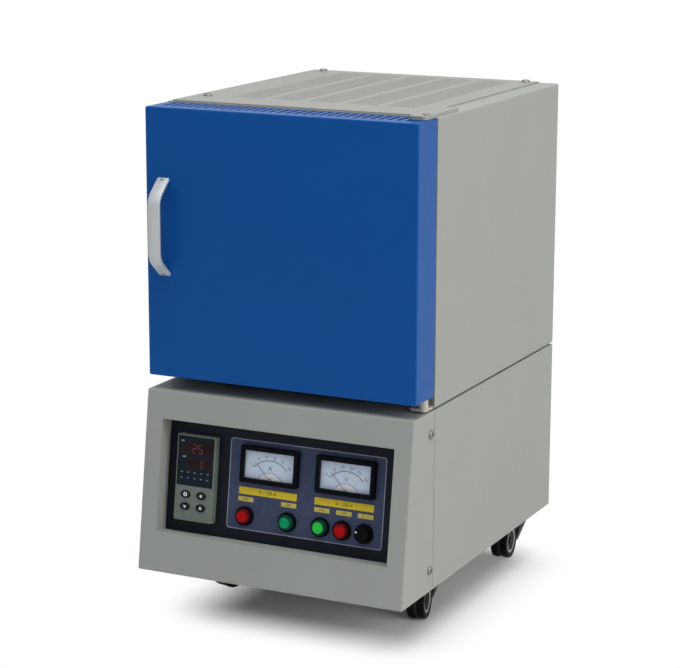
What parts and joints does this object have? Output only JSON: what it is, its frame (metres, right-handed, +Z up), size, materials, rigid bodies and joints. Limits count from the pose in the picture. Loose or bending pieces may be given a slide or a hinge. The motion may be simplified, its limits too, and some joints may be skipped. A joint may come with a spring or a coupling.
{
  "type": "dental muffle furnace",
  "caption": "Compact muffle furnace on castors: insulated chamber behind a side-hinged door, above a cabinet with a sloped control panel.",
  "frame": {"origin": "on the floor, under the middle of the bounding box", "axes": "+Z up, the front with the door and the control panel towards -Y, the door hinge on the +X side"},
  "size_m": [0.3264, 0.4542, 0.5729],
  "materials": {
    "grey_paint": "semi-gloss powder coat",
    "blue_paint": "gloss powder coat",
    "zinc_sheet": "bright zinc",
    "stainless": "heat-tinted stainless",
    "fibre_wool": "ceramic fibre wool",
    "fibre_board": "white ceramic fibre board",
    "hearth_ceramic": "fine-grained sintered plate",
    "silicide": "dark silicide rod",
    "strap_aluminium": "bright",
    "screw_steel": "bright zinc",
    "black_panel": "satin black",
    "slate_film": "satin film",
    "controller_grey": "satin",
    "display_dark": "smoked window",
    "key_dark": "matt",
    "key_grey": "satin",
    "meter_black": "gloss",
    "dial_paper": "printed card",
    "meter_glass": "clear",
    "needle_black": "matt black",
    "bezel_black": "satin",
    "button_red": "gloss",
    "button_green": "gloss lens",
    "button_bright": "gloss",
    "handle_aluminium": "satin anodised",
    "castor_black": "moulded",
    "tread_black": "hard tread",
    "inner_black": "moulded",
    "lamination_steel": "varnished laminations"
  },
  "bodies": {
    "body": {"upper_casing": "grey_paint", "top_cover": "grey_paint", "upper_rear_panel": "grey_paint", "inner_casing": "stainless", "insulation_jacket": "fibre_wool", "muffle_chamber": "fibre_board", "hearth_plate": "hearth_ceramic", "heating_elements": "silicide", "element_terminals": "strap_aluminium", "thermocouple": "hearth_ceramic", "upper_hinge_plate": "grey_paint", "lower_hinge_bracket": "zinc_sheet", "upper_hinge_pin": "screw_steel", "lower_hinge_pin": "screw_steel", "door_switch": "inner_black", "cabinet_casing": "grey_paint", "cabinet_front": "grey_paint", "cabinet_rear_panel": "grey_paint", "casing_screws": "screw_steel", "control_panel": "black_panel", "panel_overlay": "slate_film", "controller_case": "controller_grey", "controller_display": "display_dark", "meter_cases": "meter_black", "meter_dials": "dial_paper", "meter_windows": "meter_glass", "button_bezels": "bezel_black", "fan_frame": "inner_black", "breaker": "key_grey", "cable_gland": "inner_black", "transformer": "lamination_steel", "power_regulator": "strap_aluminium", "castor_plates": "screw_steel"},
    "door": {"door_shell": "blue_paint", "door_back_pan": "stainless", "door_plug": "fibre_board", "door_handle": "handle_aluminium", "handle_screws": "screw_steel"},
    "switch_plunger": {"door_switch_plunger": "screw_steel"},
    "fan": {"fan_rotor": "inner_black"},
    "toggle": {"breaker_toggle": "bezel_black"},
    "knob": {"selector_knob": "bezel_black"},
    "current_needle": {"ammeter_needle": "needle_black"},
    "voltage_needle": {"voltmeter_needle": "needle_black"},
    "red_stop_button": {"red_stop_button": "button_red"},
    "green_start_button": {"green_start_button": "button_green"},
    "green_on_button": {"green_on_button": "button_bright"},
    "red_off_button": {"red_off_button": "button_red"},
    "key_1": {"controller_key_1": "key_dark"},
    "key_2": {"controller_key_2": "key_dark"},
    "key_3": {"controller_key_3": "key_dark"},
    "key_4": {"controller_key_4": "key_dark"},
    "hood_front_left": {"castor_hood_front_left": "castor_black"},
    "wheels_front_left": {"castor_wheels_front_left": "tread_black"},
    "hood_rear_left": {"castor_hood_rear_left": "castor_black"},
    "wheels_rear_left": {"castor_wheels_rear_left": "tread_black"},
    "hood_front_right": {"castor_hood_front_right": "castor_black"},
    "wheels_front_right": {"castor_wheels_front_right": "tread_black"},
    "hood_rear_right": {"castor_hood_rear_right": "castor_black"},
    "wheels_rear_right": {"castor_wheels_rear_right": "tread_black"}
  },
  "joints": [
    {"name": "door_swing", "type": "hinge", "parent": "body", "child": "door", "pos_m": [0.1531, -0.15989, 0.2715], "axis": [0, 0, 1], "range_deg": [0, 110]},
    {"name": "switch_plunger_slide", "type": "slide", "parent": "body", "child": "switch_plunger", "axis": [0, -1, 0], "range_m": [0, 0.002]},
    {"name": "fan_spin", "type": "hinge", "parent": "body", "child": "fan", "pos_m": [-0.0806, 0.18141, 0.166], "axis": [0, 1, 0], "continuous": true},
    {"name": "toggle_throw", "type": "hinge", "parent": "body", "child": "toggle", "pos_m": [0.0406, 0.20511, 0.19], "axis": [-1, 0, 0], "range_deg": [0, 40]},
    {"name": "selector_turn", "type": "hinge", "parent": "body", "child": "knob", "pos_m": [0.1027, -0.19764, 0.12611], "axis": [0, 0.9901, -0.1401], "range_deg": [0, 90]},
    {"name": "ammeter_deflection", "type": "hinge", "parent": "body", "child": "current_needle", "pos_m": [-0.0133, -0.19322, 0.16876], "axis": [0, 0.9901, -0.1401], "range_deg": [0, 90]},
    {"name": "voltmeter_deflection", "type": "hinge", "parent": "body", "child": "voltage_needle", "pos_m": [0.0782, -0.19322, 0.16876], "axis": [0, 0.9901, -0.1401], "range_deg": [0, 90]},
    {"name": "red_stop_button_press", "type": "slide", "parent": "body", "child": "red_stop_button", "axis": [0, 0.9901, -0.1401], "range_m": [0, 0.0018], "stiffness_N_per_m": 1500},
    {"name": "green_start_button_press", "type": "slide", "parent": "body", "child": "green_start_button", "axis": [0, 0.9901, -0.1401], "range_m": [0, 0.0018], "stiffness_N_per_m": 1500},
    {"name": "green_on_button_press", "type": "slide", "parent": "body", "child": "green_on_button", "axis": [0, 0.9901, -0.1401], "range_m": [0, 0.0018], "stiffness_N_per_m": 1500},
    {"name": "red_off_button_press", "type": "slide", "parent": "body", "child": "red_off_button", "axis": [0, 0.9901, -0.1401], "range_m": [0, 0.0018], "stiffness_N_per_m": 1500},
    {"name": "key_1_press", "type": "slide", "parent": "body", "child": "key_1", "axis": [0, 0.9901, -0.1401], "range_m": [0, 0.0008], "stiffness_N_per_m": 1000},
    {"name": "key_2_press", "type": "slide", "parent": "body", "child": "key_2", "axis": [0, 0.9901, -0.1401], "range_m": [0, 0.0008], "stiffness_N_per_m": 1000},
    {"name": "key_3_press", "type": "slide", "parent": "body", "child": "key_3", "axis": [0, 0.9901, -0.1401], "range_m": [0, 0.0008], "stiffness_N_per_m": 1000},
    {"name": "key_4_press", "type": "slide", "parent": "body", "child": "key_4", "axis": [0, 0.9901, -0.1401], "range_m": [0, 0.0008], "stiffness_N_per_m": 1000},
    {"name": "swivel_front_left", "type": "hinge", "parent": "body", "child": "hood_front_left", "pos_m": [-0.1141, -0.06039, 0.0499], "axis": [0, 0, 1], "continuous": true},
    {"name": "roll_front_left", "type": "hinge", "parent": "hood_front_left", "child": "wheels_front_left", "pos_m": [-0.12135, -0.08743, 0.021], "axis": [-0.9659, 0.2588, 0], "continuous": true},
    {"name": "swivel_rear_left", "type": "hinge", "parent": "body", "child": "hood_rear_left", "pos_m": [-0.1209, 0.18091, 0.0499], "axis": [0, 0, 1], "continuous": true},
    {"name": "roll_rear_left", "type": "hinge", "parent": "hood_rear_left", "child": "wheels_rear_left", "pos_m": [-0.11943, 0.15295, 0.021], "axis": [-0.9986, -0.0523, 0], "continuous": true},
    {"name": "swivel_front_right", "type": "hinge", "parent": "body", "child": "hood_front_right", "pos_m": [0.1141, -0.06039, 0.0499], "axis": [0, 0, 1], "continuous": true},
    {"name": "roll_front_right", "type": "hinge", "parent": "hood_front_right", "child": "wheels_front_right", "pos_m": [0.11896, -0.08796, 0.021], "axis": [-0.9848, -0.1736, 0], "continuous": true},
    {"name": "swivel_rear_right", "type": "hinge", "parent": "body", "child": "hood_rear_right", "pos_m": [0.1209, 0.18091, 0.0499], "axis": [0, 0, 1], "continuous": true},
    {"name": "roll_rear_right", "type": "hinge", "parent": "hood_rear_right", "child": "wheels_rear_right", "pos_m": [0.12285, 0.15298, 0.021], "axis": [-0.9976, -0.0698, 0], "continuous": true}
  ],
  "couplings": [
    {"joint": "switch_plunger_slide", "follows": "door_swing", "m_per_rad": 0.0010417}
  ]
}
